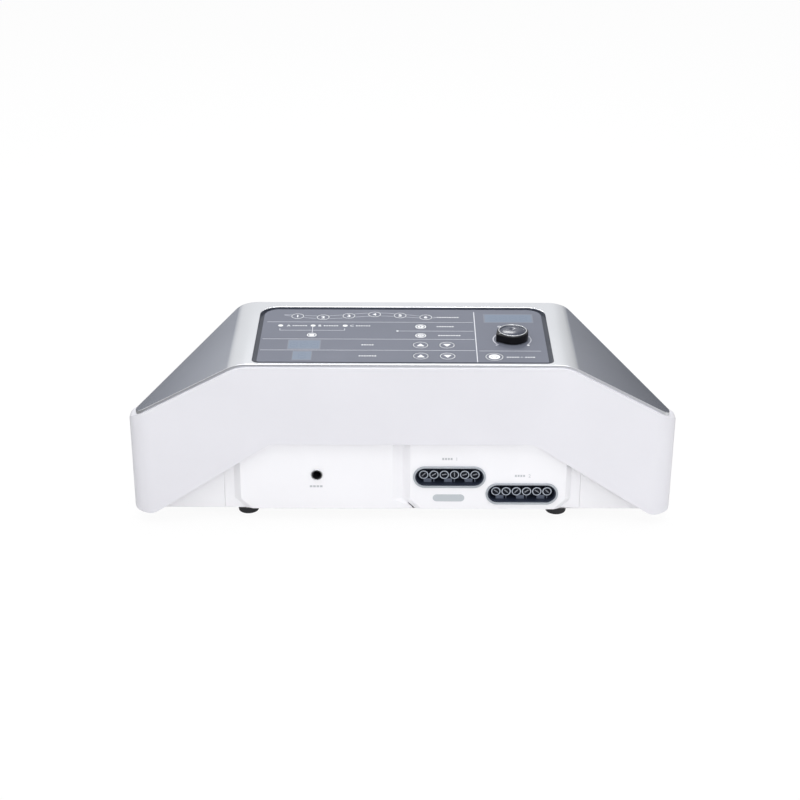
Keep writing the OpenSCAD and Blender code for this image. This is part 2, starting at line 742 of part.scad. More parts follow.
module fuse_holder() color("black") placed() translate([fuse_at[0], 0, fuse_at[1]]) {
    front_extrude(rear_face - 20, rear_face + 0.2) circle(r = 6.3);
    front_extrude(rear_face, rear_face + 2.2) difference() {
        circle(r = 8);
        square([1.6, 9], center = true);
    }
}

module switch_housing() color("black") placed() translate([switch_at[0], 0, switch_at[1]]) difference() {
    union() {
        front_extrude(rear_face, switch_flange_y) square([15.4, 23], center = true);
        front_extrude(rear_face - 18, switch_flange_y) square([14, 21.5], center = true);
    }
    front_extrude(rocker_pivot_y - 4.4, overall_d)
        square([2 * rocker_half + 0.6, 2 * rocker_r + 0.6], center = true);
    translate([-6.4, rocker_pivot_y, 0]) rotate([0, 90, 0]) cylinder(r = rocker_pin_r + 0.05, h = 12.8);
}

// Two-position rocker, drawn in its off position
module power_rocker() color("black") placed() translate([switch_at[0], rocker_pivot_y, switch_at[1]])
    rotate([rocker_tilt, 0, 0]) {
        tip = 3 + rocker_r * tan(rocker_tilt);
        side_extrude(-rocker_half, rocker_half) intersection() {
            circle(r = rocker_r, $fn = 96);
            polygon([
                [-2, -rocker_r - 1], [tip, -rocker_r - 1], [3, 0], [tip, rocker_r + 1], [-2, rocker_r + 1]
            ]);
        }
        translate([-6.2, 0, 0]) rotate([0, 90, 0]) cylinder(r = rocker_pin_r, h = 12.4);
    }

base_housing();
left_wing_cover();
right_wing_cover();
front_fascia();
front_panel();
socket_plate();
rear_cover();
top_cover();
panel_gasket();
control_overlay();
pressure_window();
time_window();
speed_window();
mode_lights();
display_board();
digit_displays();
tact_switches();
potentiometer();
jack_body();
jack_nut();
hose_socket_1();
hose_socket_2();
socket_bezel_1();
socket_bezel_2();
socket_valves_1();
socket_valves_2();
label_plate();
rubber_feet();
foot_screws();
rear_screws();
compressor();
compressor_mounts();
valve_manifold();
solenoid_valves();
air_hoses();
main_board();
transformer();
mains_inlet();
fuse_holder();
switch_housing();
power_rocker();
knob_shaft();
knob_body();
knob_ring();
knob_cap();
key(0);  // key_1
key(1);  // key_2
key(2);  // key_3
key(3);  // key_4
key(4);  // key_5
key(5);  // key_6
key(6);  // key_mode
key(7);  // key_program
key(8);  // key_interval
key(9);  // key_time_up
key(10);  // key_time_down
key(11);  // key_speed_up
key(12);  // key_speed_down
key(13);  // key_start_stop
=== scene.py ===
"""Looks of the compression therapy pump: softened mouldings, printed keypad, materials, light and camera."""

import json
import math

import bmesh
import bpy
from mathutils import Matrix, Vector


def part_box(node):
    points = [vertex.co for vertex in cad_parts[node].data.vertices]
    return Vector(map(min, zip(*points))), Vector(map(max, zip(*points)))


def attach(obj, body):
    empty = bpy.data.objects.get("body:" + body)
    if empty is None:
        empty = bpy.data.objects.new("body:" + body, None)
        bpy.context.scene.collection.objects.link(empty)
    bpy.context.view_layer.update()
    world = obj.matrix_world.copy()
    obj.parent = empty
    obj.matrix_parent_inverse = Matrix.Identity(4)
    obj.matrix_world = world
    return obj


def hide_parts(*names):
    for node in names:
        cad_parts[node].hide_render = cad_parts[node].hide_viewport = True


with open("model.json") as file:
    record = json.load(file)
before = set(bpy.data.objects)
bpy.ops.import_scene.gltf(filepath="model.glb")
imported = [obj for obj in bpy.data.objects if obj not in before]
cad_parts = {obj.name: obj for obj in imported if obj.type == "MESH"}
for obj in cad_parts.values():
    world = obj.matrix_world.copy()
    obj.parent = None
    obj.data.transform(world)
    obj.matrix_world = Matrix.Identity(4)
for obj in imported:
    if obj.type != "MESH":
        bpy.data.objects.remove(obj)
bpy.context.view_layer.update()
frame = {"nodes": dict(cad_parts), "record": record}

MM = 0.001
HOUSING = "housing"
NODES = frame["nodes"]

# ---- places read from the CAD frame, in millimetres ----


def box_mm(node):
    low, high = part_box(node)
    return low / MM, high / MM


def middle(node):
    low, high = box_mm(node)
    return (low + high) / 2


FASCIA_Y = box_mm("front_fascia")[0].y
PANEL_TOP = box_mm("control_overlay")[1].z
FASCIA_HALF = box_mm("front_fascia")[1].x
FASCIA_CORNER = 18
PORT_Y = 9
PAD_Y = box_mm("socket_plate")[0].y - FASCIA_Y
PORTS = 6
PORT_PITCH = 8.26
PORT_DROP = 0.4
PORT_GLINT_R = 3.35
PORT_GLINT_WIDTH = 0.75


def own(point):
    """The pump's own millimetres of a point of the frame: y is measured from the fascia's face."""
    return Vector((point.x / MM, point.y / MM - FASCIA_Y, point.z / MM))


def at(x, y, z):
    """The frame's point of the pump's own millimetres."""
    return (x * MM, (y + FASCIA_Y) * MM, z * MM)


# ---- materials ----


def new_material(name):
    mat = bpy.data.materials.new(name)
    mat.use_nodes = True
    return mat, mat.node_tree, mat.node_tree.nodes["Principled BSDF"]


def object_point(tree):
    return tree.nodes.new("ShaderNodeTexCoord").outputs["Object"]


def noise(tree, scale, detail=3.0):
    """Noise over the object's own coordinates, in metres."""
    tex = tree.nodes.new("ShaderNodeTexNoise")
    tex.inputs["Scale"].default_value = scale
    tex.inputs["Detail"].default_value = detail
    tree.links.new(object_point(tree), tex.inputs["Vector"])
    return tex.outputs["Fac"]


def ramp(tree, value, dark, light, low=0.35, high=0.65):
    node = tree.nodes.new("ShaderNodeValToRGB")
    node.color_ramp.elements[0].position = low
    node.color_ramp.elements[1].position = high
    node.color_ramp.elements[0].color = (*dark, 1)
    node.color_ramp.elements[1].color = (*light, 1)
    tree.links.new(value, node.inputs["Fac"])
    return node.outputs["Color"]


def spread(tree, value, low, high):
    node = tree.nodes.new("ShaderNodeMapRange")
    node.inputs["To Min"].default_value = low
    node.inputs["To Max"].default_value = high
    tree.links.new(value, node.inputs["Value"])
    return node.outputs["Result"]


def range_of(tree, value, start, end, low, high):
    """Runs from low to high while value runs from start to end."""
    node = tree.nodes.new("ShaderNodeMapRange")
    for socket, number in (("From Min", start), ("From Max", end), ("To Min", low), ("To Max", high)):
        node.inputs[socket].default_value = number
    tree.links.new(value, node.inputs["Value"])
    return node.outputs["Result"]


def mixed(tree, first, second, share):
    """First shader where share is 0, second where it is 1."""
    mix = tree.nodes.new("ShaderNodeMixShader")
    tree.links.new(share, mix.inputs["Fac"])
    tree.links.new(first, mix.inputs[1])
    tree.links.new(second, mix.inputs[2])
    return mix.outputs["Shader"]


def bump(tree, bsdf, height, strength, distance):
    node = tree.nodes.new("ShaderNodeBump")
    node.inputs["Strength"].default_value = strength
    node.inputs["Distance"].default_value = distance
    tree.links.new(height, node.inputs["Height"])
    tree.links.new(node.outputs["Normal"], bsdf.inputs["Normal"])


GRAIN_DEPTH = 0.00002


def moulded(name, colour, rough, vary=0.03, grain=2400, metal=0.0, coat=0.0, strength=0.25, shine=0.5):
    """Moulded or painted surface: a faint drift of tone, a fine grain and slightly uneven gloss."""
    mat, tree, bsdf = new_material(name)
    bsdf.inputs["Specular IOR Level"].default_value = shine
    dark = [c * (1 - vary) for c in colour]
    light = [min(1, c * (1 + vary)) for c in colour]
    tree.links.new(ramp(tree, noise(tree, 14), dark, light), bsdf.inputs["Base Color"])
    tree.links.new(spread(tree, noise(tree, 60), rough * 0.9, rough * 1.1), bsdf.inputs["Roughness"])
    bsdf.inputs["Metallic"].default_value = metal
    bsdf.inputs["Coat Weight"].default_value = coat
    bsdf.inputs["Coat Roughness"].default_value = 0.12
    bump(tree, bsdf, noise(tree, grain, 2), strength, GRAIN_DEPTH)
    return mat


# the keypad plate's written tone, about 101; under the lamps below it renders at about 142
OVERLAY = (0.13, 0.14, 0.176)


def window_film(colour, fades=(0.05, 0.12)):
    """Tinted film over a display, which fades into the keypad plate's own tone at its edges."""
    mat, tree, bsdf = new_material("window_film")
    bsdf.inputs["Roughness"].default_value = 0.4
    axes = tree.nodes.new("ShaderNodeSeparateXYZ")
    tree.links.new(tree.nodes.new("ShaderNodeTexCoord").outputs["Generated"], axes.inputs["Vector"])
    inside = None
    for axis, fade in zip(("X", "Y"), fades):
        away = tree.nodes.new("ShaderNodeMath")
        away.operation = "PINGPONG"
        away.inputs[1].default_value = 0.5
        tree.links.new(axes.outputs[axis], away.inputs[0])
        edge = tree.nodes.new("ShaderNodeMapRange")
        edge.interpolation_type = "SMOOTHSTEP"
        edge.inputs["From Max"].default_value = fade
        tree.links.new(away.outputs["Value"], edge.inputs["Value"])
        if inside is None:
            inside = edge.outputs["Result"]
        else:
            both = tree.nodes.new("ShaderNodeMath")
            both.operation = "MULTIPLY"
            tree.links.new(inside, both.inputs[0])
            tree.links.new(edge.outputs["Result"], both.inputs[1])
            inside = both.outputs["Value"]
    tree.links.new(ramp(tree, inside, OVERLAY, colour, 0, 1), bsdf.inputs["Base Color"])
    bump(tree, bsdf, noise(tree, 6000, 2), 0.4, GRAIN_DEPTH)
    return mat


MATERIALS = {
    "white": moulded("white_moulding", (0.745, 0.74, 0.78), 0.34, vary=0.012),
    "panel": moulded("panel_moulding", (0.885, 0.88, 0.905), 0.36, vary=0.01),
    "grey_base": moulded("base_moulding", (0.74, 0.745, 0.76), 0.45, vary=0.015),
    "silver": moulded(
        "silver_paint", (0.82, 0.83, 0.855), 0.15, vary=0.02, grain=5200, metal=1.0, strength=0.05,
    ),
    # painted shade: a darker copy of the silver paint for the cover's front face
    "cover_front_shade": moulded(
        "cover_front_shade", (0.66, 0.67, 0.7), 0.42, vary=0.02, grain=5200, metal=1.0, strength=0.05,
    ),
    "overlay": moulded("overlay_film", OVERLAY, 0.5, vary=0.03, grain=6000, strength=0.5, shine=0.2),
    "print": moulded("print_ink", (0.78, 0.79, 0.81), 0.5),
    "fine_print": moulded("fine_ink", (0.6, 0.61, 0.65), 0.5),
    "faint_print": moulded("faint_ink", (0.5, 0.51, 0.56), 0.5),
    "grey_print": moulded("grey_ink", (0.5, 0.51, 0.54), 0.5),
    "gasket": moulded("black_gasket", (0.026, 0.031, 0.046), 0.5, shine=0.3),
    "rubber": moulded("black_rubber", (0.022, 0.022, 0.026), 0.62, vary=0.15, grain=900, strength=0.5),
    "socket": moulded("socket_plastic", (0.022, 0.028, 0.048), 0.35, vary=0.1, shine=0.3),
    # painted light: a lighter copy of the socket plastic for its forward-looking faces
    "socket_painted_light": moulded("socket_painted_light", (0.12, 0.14, 0.19), 0.35),
    # painted highlight: a bright metal-like ring colour for the ports' rims
    "painted_port_glint": moulded("painted_port_glint", (0.66, 0.72, 0.82), 0.3, metal=0.8),
    "valve": moulded("valve_rubber", (0.008, 0.01, 0.018), 0.5, vary=0.1, shine=0.2),
    # painted highlight: a lighter copy of the valve rubber for the slit's raised lip
    "slit_glint": moulded("slit_glint", (0.3, 0.32, 0.36), 0.5),
    "bezel": moulded("bezel_grey", (0.46, 0.49, 0.53), 0.3, vary=0.03, metal=0.4),
    "label": moulded("label_film", (0.5, 0.53, 0.56), 0.4),
    "black": moulded("black_plastic", (0.02, 0.02, 0.023), 0.38, vary=0.1),
    "knob": moulded("knob_plastic", (0.007, 0.007, 0.009), 0.36, vary=0.1, shine=0.15),
    "gloss_cap": moulded("knob_cap_gloss", (0.02, 0.026, 0.05), 0.25, vary=0.1, strength=0.02, shine=0.8),
    "chrome": moulded("chrome", (0.86, 0.87, 0.88), 0.12, vary=0.01, metal=1.0, strength=0.03),
    "steel": moulded("zinc_steel", (0.6, 0.61, 0.62), 0.3, vary=0.06, metal=1.0),
    "board": moulded("board_lacquer", (0.02, 0.13, 0.05), 0.3, vary=0.2),
    "hose": moulded("hose_silicone", (0.6, 0.61, 0.6), 0.4),
    "casting": moulded("casting", (0.5, 0.51, 0.52), 0.4, vary=0.08, metal=0.9, grain=600),
    "core": moulded("core_lamination", (0.12, 0.12, 0.13), 0.5, vary=0.2, metal=0.4),
    "window": window_film((0.112, 0.15, 0.212)),
    "segment": moulded("segment_ghost", (0.13, 0.168, 0.232), 0.5, shine=0.35),
    "lens": moulded("lens", (0.85, 0.86, 0.86), 0.2, coat=0.5),
}

NODE_MATERIALS = {
    "base_housing": "grey_base", "left_wing_cover": "panel", "right_wing_cover": "panel",
    "front_fascia": "white", "front_panel": "panel", "socket_plate": "panel", "rear_cover": "white",
    "top_cover": "silver", "panel_gasket": "gasket", "control_overlay": "overlay",
    "pressure_window": "window", "time_window": "window", "speed_window": "window",
    "mode_lights": "lens", "display_board": "board", "digit_displays": "core", "tact_switches": "black",
    "potentiometer": "steel", "jack_body": "black", "jack_nut": "chrome", "hose_socket_1": "socket",
    "hose_socket_2": "socket", "socket_bezel_1": "bezel", "socket_bezel_2": "bezel", "socket_valves_1": "valve",
    "socket_valves_2": "valve", "label_plate": "label", "rubber_feet": "rubber", "foot_screws": "steel",
    "rear_screws": "steel", "compressor": "casting", "compressor_mounts": "rubber", "valve_manifold": "hose",
    "solenoid_valves": "black", "air_hoses": "hose", "main_board": "board", "transformer": "core",
    "mains_inlet": "black", "fuse_holder": "black", "switch_housing": "black", "power_rocker": "knob",
    "knob_shaft": "steel", "knob_body": "knob", "knob_ring": "chrome", "knob_cap": "gloss_cap",
}


def paint(obj, name):
    obj.data.materials.clear()
    obj.data.materials.append(MATERIALS[name])


for node_name, node in NODES.items():
    paint(node, NODE_MATERIALS.get(node_name, "overlay"))


# ---- pieces made here ----


def body_of(node):
    for body, nodes in frame["record"]["behaviour"]["bodies"].items():
        if node in nodes:
            return body
    return HOUSING


def add_piece(name, mesh, material, body):
    obj = bpy.data.objects.new(name, mesh)
    bpy.context.scene.collection.objects.link(obj)
    if material:
        paint(obj, material)
    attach(obj, body)
    return obj


def finished(bm, name):
    """Mesh with smooth faces and its sharp edges kept sharp."""
    bmesh.ops.recalc_face_normals(bm, faces=bm.faces)
    mesh = bpy.data.meshes.new(name)
    bm.to_mesh(mesh)
    bm.free()
    mesh.polygons.foreach_set("use_smooth", [True] * len(mesh.polygons))
    mesh.set_sharp_from_angle(angle=math.radians(30))
    return mesh


def keep_flats(piece):
    """Lets the large faces set the shading beside a rounded edge, so that they mirror as flats."""
    weighted = piece.modifiers.new("keep_flats", "WEIGHTED_NORMAL")
    weighted.mode = "FACE_AREA"
    weighted.weight = 80
    weighted.keep_sharp = True


MERGE_ANGLE = math.radians(0.6)
BEVEL_ANGLE = math.radians(32)


def soften(node, groups, face_material=None):
    """Stands a copy of a CAD node in its place, with its edges rounded.

    groups lists (width in mm, segments, test); an edge is rounded where it passes the test.
    face_material names a face's material from its middle, in the pump's own millimetres, and its normal.
    """
    bm = bmesh.new()
    bm.from_mesh(NODES[node].data)
    bmesh.ops.remove_doubles(bm, verts=bm.verts, dist=1e-6)
    bmesh.ops.dissolve_limit(bm, angle_limit=MERGE_ANGLE, verts=bm.verts, edges=bm.edges)
    for width, segments, test in groups:
        sharp = [e for e in bm.edges if e.is_manifold and e.calc_face_angle() > BEVEL_ANGLE and test(e)]
        bmesh.ops.bevel(
            bm, geom=sharp, offset=width * MM, offset_type="OFFSET", segments=segments,
            profile=0.5, affect="EDGES", clamp_overlap=True,
        )
    names = [NODE_MATERIALS.get(node, "overlay")]
    if face_material:
        for face in bm.faces:
            wanted = face_material(own(face.calc_center_median()), face.normal) or names[0]
            if wanted not in names:
                names.append(wanted)
            face.material_index = names.index(wanted)
    piece = add_piece(node + "_soft", finished(bm, node + "_soft"), None, body_of(node))
    keep_flats(piece)
    for wanted in names:
        piece.data.materials.append(MATERIALS[wanted])
    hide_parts(node)
    return piece


def always(e):
    return True


def cover_finish(point, normal):
    """Painted shade: the cover's front face gets a darker and rougher copy of the silver paint, so that it
    shows as a dark strip below the top.
    """
    return "cover_front_shade" if normal.y < -0.9 and point.y < 8 else None


def on_upper_side(e):
    """An edge of the cover's upper face, so that its lower edges stay close to the fascia."""
    return max(f.normal.z for f in e.link_faces) > 0.3


def on_outer_skin(e):
    """An outline edge of the fascia's outer skin: its face, its upright corners and its two ends."""
    for v in e.verts:
        x, y, z = own(v.co)
        past = abs(x) - (FASCIA_HALF - FASCIA_CORNER)
        on_face = abs(y) < 0.05
        on_corner = past > 0 and abs(math.hypot(past, y - FASCIA_CORNER) - FASCIA_CORNER) < 0.1
        on_end = abs(abs(x) - FASCIA_HALF) < 0.05
        if not (on_face or on_corner or on_end):
            return False
    return max(abs(f.normal.z) for f in e.link_faces) > 0.05


soften("front_fascia", [(2.2, 5, on_outer_skin)])
soften("top_cover", [(0.35, 3, on_upper_side)], cover_finish)
for node_name, width in {
    "front_panel": 0.9, "socket_plate": 0.9, "left_wing_cover": 0.3, "right_wing_cover": 0.3, "rear_cover": 0.3,
    "base_housing": 0.5, "socket_bezel_1": 0.3, "socket_bezel_2": 0.3, "jack_nut": 0.3, "rubber_feet": 0.3,
    "knob_body": 0.45, "knob_ring": 0.12, "power_rocker": 0.3, "switch_housing": 0.3, "mains_inlet": 0.3,
    "fuse_holder": 0.4, "label_plate": 0.15,
}.items():
    soften(node_name, [(width, 3, always)])

# ---- hose sockets: the front faces of their ports, blocks and ribs ----


def socket_finish(point, normal):
    """Painted light: the faces that look forward at the ports' ends get a lighter copy of the socket plastic,
    standing in for the light on them, while the cup keeps the dark one.
    """
    return "socket_painted_light" if normal.y < -0.9 and PORT_Y - 0.2 < point.y < PORT_Y + 1 else None


def valve_finish(point, normal):
    """Painted highlight: the raised lip of a slit valve gets a lighter copy of the rubber than its disc."""
    return "slit_glint" if point.y < PORT_Y + 0.5 else None


for k in (1, 2):
    soften(f"hose_socket_{k}", [], socket_finish)
    soften(f"socket_valves_{k}", [], valve_finish)

# ---- knob's glossy cap: a dome with a shallow dimple ----


def lathe(name, centre, profile, turns=96):
    """Closed turned piece about Z: profile runs from the outside up and in, as (radius, height) in mm."""
    bm = bmesh.new()
    rings = []
    for r, z in profile:
        rings.append([
            bm.verts.new(at(centre[0] + r * math.cos(a), centre[1] + r * math.sin(a), centre[2] + z))
            for a in (2 * math.pi * k / turns for k in range(turns))
        ])
    for low, high in zip(rings, rings[1:]):
        for k in range(turns):
            j = (k + 1) % turns
            bm.faces.new((low[k], low[j], high[j], high[k]))
    bm.faces.new(rings[0][::-1])
    bm.faces.new(rings[-1])
    return finished(bm, name)


cap_low, cap_high = box_mm("knob_cap")
KNOB_X, KNOB_Y, _ = own(middle("knob_cap") * MM)
cap_r = (cap_high.x - cap_low.x) / 2
cap_h = cap_high.z - cap_low.z
DIMPLE_R = 3.4
DIMPLE_H = 0.75
DOME_POWER = 3.4
DOME_STEPS = 25
profile = [(cap_r, 0)]
for k in range(DOME_STEPS):
    r = cap_r * (1 - k / DOME_STEPS)
    dome = cap_h * (1 - (r / cap_r) ** DOME_POWER)
    dent = DIMPLE_H * (0.5 + 0.5 * math.cos(math.pi * min(1, r / DIMPLE_R)))
    profile.append((r, max(0.02, dome - dent)))
cap = add_piece(
    "knob_dome", lathe("knob_dome", (KNOB_X, KNOB_Y, cap_low.z), profile), "gloss_cap", "pressure_knob",
)
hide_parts("knob_cap")

# ---- printed marks ----

INK = 0.035


class Marks:
    """Paper-thin closed prisms on a flat face; the face is level, or upright and seen from in front."""

    def __init__(self, surface, upright=False):
        self.bm = bmesh.new()
        self.surface = surface
        self.upright = upright

    def place(self, p, h):
        if self.upright:
            return at(p[0], self.surface - h, p[1])
        return at(p[0], p[1], self.surface + h)

    def strip(self, left, right, closed=False):
        """Prism between two rows of points of the same length."""
        ll, lr, hl, hr = (
            [self.bm.verts.new(self.place(p, h)) for p in row] for h in (-INK, INK) for row in (left, right)
        )
        n = len(left)
        for k in range(n if closed else n - 1):
            j = (k + 1) % n
            self.bm.faces.new((ll[k], ll[j], lr[j], lr[k]))
            self.bm.faces.new((hl[k], hr[k], hr[j], hl[j]))
            self.bm.faces.new((ll[k], hl[k], hl[j], ll[j]))
            self.bm.faces.new((lr[k], lr[j], hr[j], hr[k]))
        if not closed:
            self.bm.faces.new((ll[0], lr[0], hr[0], hl[0]))
            self.bm.faces.new((ll[-1], hl[-1], hr[-1], lr[-1]))

    def polygon(self, points):
        low = [self.bm.verts.new(self.place(p, -INK)) for p in points]
        high = [self.bm.verts.new(self.place(p, INK)) for p in points]
        self.bm.faces.new(low[::-1])
        self.bm.faces.new(high)
        for k in range(len(points)):
            j = (k + 1) % len(points)
            self.bm.faces.new((low[k], low[j], high[j], high[k]))

    def arc(self, x, y, r, width, start=0, end=360, steps=64):
        closed = end - start >= 360
        count = steps if closed else steps + 1
        angles = [math.radians(start + (end - start) * k / steps) for k in range(count)]
        inner, outer = (
            [(x + q * math.cos(a), y + q * math.sin(a)) for a in angles]
            for q in (r - width / 2, r + width / 2)
        )
        self.strip(inner, outer, closed=closed)

    def disc(self, x, y, r, steps=40):
        turns = (2 * math.pi * k / steps for k in range(steps))
        self.polygon([(x + r * math.cos(a), y + r * math.sin(a)) for a in turns])

    def line(self, points, width):
        left, right = [], []
        for k, p in enumerate(points):
            before = points[max(0, k - 1)]
            after = points[min(len(points) - 1, k + 1)]
            dx, dy = after[0] - before[0], after[1] - before[1]
            size = math.hypot(dx, dy)
            nx, ny = -dy / size * width / 2, dx / size * width / 2
            left.append((p[0] + nx, p[1] + ny))
            right.append((p[0] - nx, p[1] - ny))
        self.strip(left, right)

    def bar(self, x0, x1, y, height):
        """A level bar, its ends cut square."""
        self.strip([(x0, y - height / 2), (x1, y - height / 2)], [(x0, y + height / 2), (x1, y + height / 2)])

    def dashes(self, x, y, width, height=1.5, dash=1.3, gap=0.75):
        """A row of short dashes where the real one has a word."""
        count = max(1, round((width + gap) / (dash + gap)))
        for k in range(count):
            start = x - width / 2 + k * (dash + gap)
            self.bar(start, start + dash, y, height)

    def glyph(self, letter, x, y, height, grow=0.0):
        """A letter or figure of Blender's own font, about its middle."""
        curve = bpy.data.curves.new("glyph", "FONT")
        curve.body = letter
        curve.resolution_u = 4
        curve.offset = grow
        holder = bpy.data.objects.new("glyph", curve)
        mesh = holder.to_mesh()
        flat = bmesh.new()
        flat.from_mesh(mesh)
        holder.to_mesh_clear()
        bpy.data.objects.remove(holder)
        bpy.data.curves.remove(curve)
        bmesh.ops.remove_doubles(flat, verts=flat.verts, dist=1e-5)
        xs = [v.co.x for v in flat.verts]
        ys = [v.co.y for v in flat.verts]
        scale = height / (max(ys) - min(ys))
        cx, cy = (max(xs) + min(xs)) / 2, (max(ys) + min(ys)) / 2

        def put(v, h):
            spot = (x + (v.co.x - cx) * scale, y + (v.co.y - cy) * scale)
            return self.bm.verts.new(self.place(spot, h))

        low = {v: put(v, -INK) for v in flat.verts}
        high = {v: put(v, INK) for v in flat.verts}
        for f in flat.faces:
            self.bm.faces.new([low[v] for v in reversed(f.verts)])
            self.bm.faces.new([high[v] for v in f.verts])
        for e in flat.edges:
            if e.is_boundary:
                a, b = e.verts
                self.bm.faces.new((low[a], low[b], high[b], high[a]))
        flat.free()

    def done(self, name, material, body=HOUSING):
        return add_piece(name, finished(self.bm, name), material, body)


# fine lines of the keypad plate, in the pump's own millimetres
fine = Marks(PANEL_TOP)
THIN = 0.42
for y, x0, x1 in ((86.7, -111, 57.4), (52.5, -112.5, 57.4), (30.9, -113, 57.4), (30.2, 60.4, 109.3)):
    fine.bar(x0, x1, y, THIN)
fine.strip([(58.0, 8.9), (58.4, 108)], [(58.7, 8.9), (59.1, 108)])
fine.bar(-3, 57.4, 68.8, THIN)
fine.line([(-99.8, 73.6), (-99.8, 69.8)], THIN)
fine.line([(-47.2, 73.6), (-47.2, 69.8)], THIN)
fine.bar(-100, -73.6, 69.8, THIN)
fine.bar(-73.0, -47, 69.8, THIN)
fine.line([(-73.3, 76.2), (-73.3, 65.2)], THIN)
fine.done("plate_lines", "fine_print")

# dashes in place of words, and the letters beside the lights
bright = Marks(PANEL_TOP)
bright.disc(-4.3, 68.8, 1.0)
for x, y, width in (
    (36.8, 96.9, 17.4), (34.4, 77.9, 13.4), (37.4, 60, 17.6), (-28.2, 41.2, 9.4), (-28.2, 20.1, 12.8),
    (86.4, 18.4, 9.5), (99.9, 18.4, 7.5),
):
    bright.dashes(x, y, width)
bright.bar(93.2, 93.7, 18.4, 2.2)
for letter, x, width in (("A", -93, 11.4), ("B", -67.6, 12.4), ("C", -41.4, 12)):
    bright.glyph(letter, x, 79.2, 3.2)
    bright.dashes(x + 3.2 + width / 2, 79.0, width, 1.3)
bright.arc(78.5, 78.3, 1.1, 0.5)
bright.disc(99.9, 41.6, 1.1)
bright.done("plate_marks", "print")

# the knob's scale, in two arcs
SCALE_X = KNOB_X - 0.3
SCALE_Y = KNOB_Y - 1.4
SCALE_R = 15.2
faint = Marks(PANEL_TOP)
faint.arc(SCALE_X, SCALE_Y, SCALE_R, 0.5, -38, 60, 48)
faint.arc(SCALE_X, SCALE_Y, SCALE_R, 0.8, 110, 222, 56)
faint.disc(74.7, 41.6, 0.8)

RIBBON = (-98, 27.5)
RIBBON_Y = 99.6
RIBBON_WAVE = 3.1
RIBBON_HALF = 3.3
RIBBON_STEPS = 160
KEY_CLEARANCE = 5.5


def ribbon(x, side):
    """One edge of a plain waving ribbon that passes behind the number keys."""
    share = (x - RIBBON[0]) / (RIBBON[1] - RIBBON[0])
    middle_y = RIBBON_Y + RIBBON_WAVE * math.sin(2 * math.pi * (x + 43) / 94)
    return middle_y + side * RIBBON_HALF * math.sqrt(max(0, math.sin(math.pi * share)))


number_keys = [own(middle(f"key_{k}") * MM) for k in range(1, 7)]
for side in (-1, 1):
    stretch = []
    for k in range(RIBBON_STEPS + 1):
        x = RIBBON[0] + (RIBBON[1] - RIBBON[0]) * k / RIBBON_STEPS
        point = (x, ribbon(x, side))
        if any(math.hypot(point[0] - c.x, point[1] - c.y) < KEY_CLEARANCE for c in number_keys):
            if len(stretch) > 1:
                faint.line(stretch, THIN)
            stretch = []
        else:
            stretch.append(point)
    if len(stretch) > 1:
        faint.line(stretch, THIN)
faint.done("plate_ribbon", "faint_print")

# ---- keys ----


def key_marks(key, ring, ring_width, draw):
    centre = own(middle(key) * MM)
    marks = Marks(PANEL_TOP)
    marks.arc(centre.x, centre.y, ring, ring_width)
    draw(marks, centre.x, centre.y)
    marks.done(key + "_print", "print", body_of(key))


def dark_on_disc(key, draw):
    """A small dark figure on a key's bright disc, a little above it."""
    centre = own(middle(key) * MM)
    marks = Marks(PANEL_TOP + INK)
    draw(marks, centre.x, centre.y)
    marks.done(key + "_figure", "overlay", body_of(key))


NUMBER_RING = 4.9
NUMBER_HEIGHT = 4.6
NUMBER_GROWTH = 0.022
for k in range(1, 7):
    key_marks(
        f"key_{k}", NUMBER_RING, THIN,
        lambda m, x, y, k=k: m.glyph(str(k), x, y, NUMBER_HEIGHT, NUMBER_GROWTH),
    )


def triangle(side):
    def draw(marks, x, y):
        points = [(x - 3.2, y - side * 2.3), (x + 3.2, y - side * 2.3), (x, y + side * 2.9)]
        marks.polygon(points if side > 0 else points[::-1])

    return draw


for name, side in (("time_up", 1), ("time_down", -1), ("speed_up", 1), ("speed_down", -1)):
    key_marks("key_" + name, 5.75, 0.4, triangle(side))
for name in ("program", "interval"):
    key_marks("key_" + name, 3.95, 0.85, lambda m, x, y: m.disc(x, y, 2.5))
key_marks("key_mode", 3.55, 0.75, lambda m, x, y: m.disc(x, y, 2.2))
key_marks("key_start_stop", 6.7, 0.4, lambda m, x, y: m.disc(x, y, 4.5))
dark_on_disc(
    "key_program", lambda m, x, y: m.polygon([(x - 0.9, y - 1.2), (x + 1.3, y), (x - 0.9, y + 1.2)])
)
dark_on_disc("key_interval", lambda m, x, y: m.arc(x, y, 1.1, 0.5))
dark_on_disc("key_start_stop", lambda m, x, y: m.arc(x, y, 2.2, 0.35))

# ---- ghosts of the digits behind the windows ----


def digit(marks, x, y, width, height, bar):
    """A seven-segment figure with all its bars."""
    w, h = width / 2, height / 2
    for level in (-h, 0, h):
        marks.bar(x - w + bar, x + w - bar, y + level, bar)
    for side in (-w, w):
        for low in (-h, 0):
            x0 = x + side
            marks.strip([(x0 - bar / 2, y + low + bar * 0.7), (x0 - bar / 2, y + low + h - bar * 0.7)],
                        [(x0 + bar / 2, y + low + bar * 0.7), (x0 + bar / 2, y + low + h - bar * 0.7)])


DIGIT_PITCH = 8.2
DIGIT_WIDTH = 5
DIGIT_HEIGHT = 9.6
DIGIT_BAR = 0.9
ghosts = Marks(PANEL_TOP)
for window, count in (("pressure_window", 4), ("time_window", 3), ("speed_window", 1)):
    centre = own(middle(window) * MM)
    for k in range(count):
        x = centre.x + (k - (count - 1) / 2) * DIGIT_PITCH
        digit(ghosts, x, centre.y, DIGIT_WIDTH, DIGIT_HEIGHT, DIGIT_BAR)
ghosts.done("digit_ghosts", "segment", HOUSING)

# ---- front marks ----

